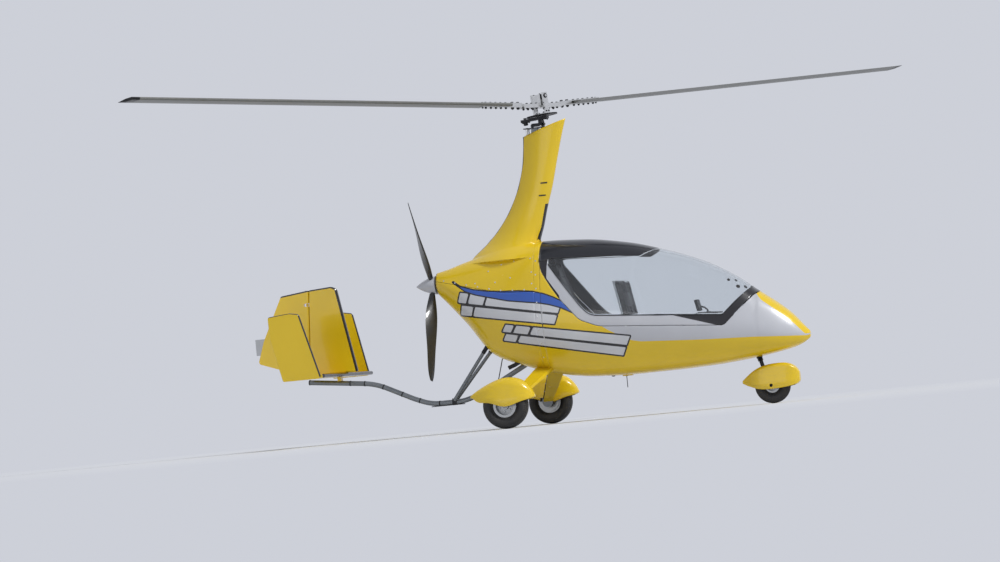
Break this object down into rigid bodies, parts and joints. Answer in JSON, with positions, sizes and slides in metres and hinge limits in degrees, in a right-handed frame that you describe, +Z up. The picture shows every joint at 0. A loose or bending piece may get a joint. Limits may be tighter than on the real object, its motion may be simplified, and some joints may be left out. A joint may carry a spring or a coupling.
{
  "type": "gyrocopter",
  "caption": "Enclosed tandem-seat gyrocopter with a pusher propeller, triple tail fins, faired tricycle wheels and a teetering rotor above a tall mast fairing.",
  "frame": {"origin": "on the ground under the middle of the aircraft's outline, rotor included", "axes": "+X towards the nose, +Y towards the port side, +Z up, parked on its three wheels"},
  "size_m": [5.22, 6.9027, 2.8877],
  "materials": {
    "yellow_shell": "gloss yellow painted composite",
    "canopy_paint": "silver painted composite",
    "dark_roof": "dark tinted roof panel",
    "glazing": "clear acrylic",
    "steel_tube": "welded stainless tube",
    "yellow_spring": "yellow painted glass-fibre leaf",
    "tyre_rubber": "road tyre",
    "rim_alloy": "cast alloy rim",
    "black_metal": "black painted steel",
    "bare_alloy": "machined alloy",
    "blade_alloy": "anodised extruded alloy",
    "spinner_grey": "grey spinner",
    "propeller_black": "carbon composite blade",
    "engine_grey": "cast alloy",
    "seat_shell_grey": "pale composite seat shell",
    "seat_leather": "black upholstery",
    "cabin_black": "matt black trim",
    "tab_alloy": "sheet alloy"
  },
  "bodies": {
    "airframe": {"fuselage_tub": "yellow_shell", "mast_cowl": "yellow_shell", "firewall": "cabin_black", "cabin_floor": "cabin_black", "belly_antenna": "black_metal", "keel_boom": "steel_tube", "tail_strut_left": "steel_tube", "tail_strut_right": "steel_tube", "mast_tube": "steel_tube", "main_gear_bow": "yellow_spring", "engine": "engine_grey", "main_axle_left": "steel_tube", "main_axle_right": "steel_tube", "main_fairing_left": "yellow_shell", "main_fairing_right": "yellow_shell", "steering_sleeve": "black_metal", "stabiliser": "yellow_shell", "outer_fin_left": "yellow_shell", "outer_fin_right": "yellow_shell", "centre_fin": "yellow_shell", "head_base": "black_metal", "head_mount_studs": "steel_tube", "front_seat": "seat_shell_grey", "front_seat_cushion": "seat_leather", "front_backrest_cushion": "seat_leather", "rear_seat": "seat_shell_grey", "rear_seat_cushion": "seat_leather", "rear_backrest_cushion": "seat_leather", "instrument_panel": "cabin_black", "control_stick": "cabin_black", "rudder_pedals": "cabin_black", "throttle_lever": "cabin_black"},
    "main_wheel_left": {"main_wheel_left_tyre": "tyre_rubber", "main_wheel_left_rim": "rim_alloy"},
    "main_wheel_right": {"main_wheel_right_tyre": "tyre_rubber", "main_wheel_right_rim": "rim_alloy"},
    "nose_fork": {"nose_fork": "black_metal", "nose_fairing": "yellow_shell"},
    "nose_wheel": {"nose_wheel_tyre": "tyre_rubber", "nose_wheel_rim": "rim_alloy"},
    "rudder": {"rudder": "yellow_shell", "rudder_trim_tab": "tab_alloy"},
    "canopy": {"canopy_frame": "canopy_paint", "canopy_roof": "dark_roof", "canopy_glass": "glazing"},
    "propeller": {"propeller_spinner": "spinner_grey", "propeller_blade_1": "propeller_black", "propeller_blade_2": "propeller_black", "propeller_blade_3": "propeller_black"},
    "gimbal": {"gimbal_block": "black_metal"},
    "bearing_frame": {"bearing_frame": "black_metal"},
    "rotor_mast": {"ring_gear": "bare_alloy", "rotor_tower": "bare_alloy"},
    "rotor": {"hub_bar": "bare_alloy", "blade_grip_forward": "bare_alloy", "blade_grip_aft": "bare_alloy", "rotor_blade_forward": "blade_alloy", "rotor_blade_aft": "blade_alloy"}
  },
  "joints": [
    {"name": "main_wheel_left_spin", "type": "hinge", "parent": "airframe", "child": "main_wheel_left", "pos_m": [-0.262, 0.77, 0.19], "axis": [0, 1, 0], "continuous": true},
    {"name": "main_wheel_right_spin", "type": "hinge", "parent": "airframe", "child": "main_wheel_right", "pos_m": [-0.262, -0.77, 0.19], "axis": [0, 1, 0], "continuous": true},
    {"name": "nose_steer", "type": "hinge", "parent": "airframe", "child": "nose_fork", "pos_m": [1.735, 0, 0.395], "axis": [-0.2588, 0, 0.9659], "range_deg": [-20, 20]},
    {"name": "nose_wheel_spin", "type": "hinge", "parent": "nose_fork", "child": "nose_wheel", "pos_m": [1.825, 0, 0.15], "axis": [0, 1, 0], "continuous": true},
    {"name": "rudder_swing", "type": "hinge", "parent": "airframe", "child": "rudder", "pos_m": [-2.153, 0, 0.6], "axis": [0.0732, 0, 0.9973], "range_deg": [-25, 25]},
    {"name": "canopy_swing", "type": "hinge", "parent": "airframe", "child": "canopy", "pos_m": [0.612, -0.431, 0.76318], "axis": [0.9961, 0, -0.0881], "range_deg": [0, 65]},
    {"name": "propeller_spin", "type": "hinge", "parent": "airframe", "child": "propeller", "pos_m": [-0.994, 0, 1.256], "axis": [1, 0, 0], "continuous": true},
    {"name": "head_roll", "type": "hinge", "parent": "airframe", "child": "gimbal", "pos_m": [0.076, 0, 2.506], "axis": [1, 0, 0], "range_deg": [-8, 8]},
    {"name": "head_pitch", "type": "hinge", "parent": "gimbal", "child": "bearing_frame", "pos_m": [0.076, 0, 2.528], "axis": [0, 1, 0], "range_deg": [-9, 9]},
    {"name": "rotor_spin", "type": "hinge", "parent": "bearing_frame", "child": "rotor_mast", "pos_m": [0.08617, 0, 2.60105], "axis": [-0.0802, 0, 0.9968], "continuous": true},
    {"name": "rotor_teeter", "type": "hinge", "parent": "rotor_mast", "child": "rotor", "pos_m": [0.07535, 0, 2.73562], "axis": [-0.8125, 0.5793, -0.0654], "range_deg": [-10.46, 5.54]}
  ],
  "couplings": [
    {"joint": "rudder_swing", "follows": "nose_steer", "ratio": -1.25}
  ]
}
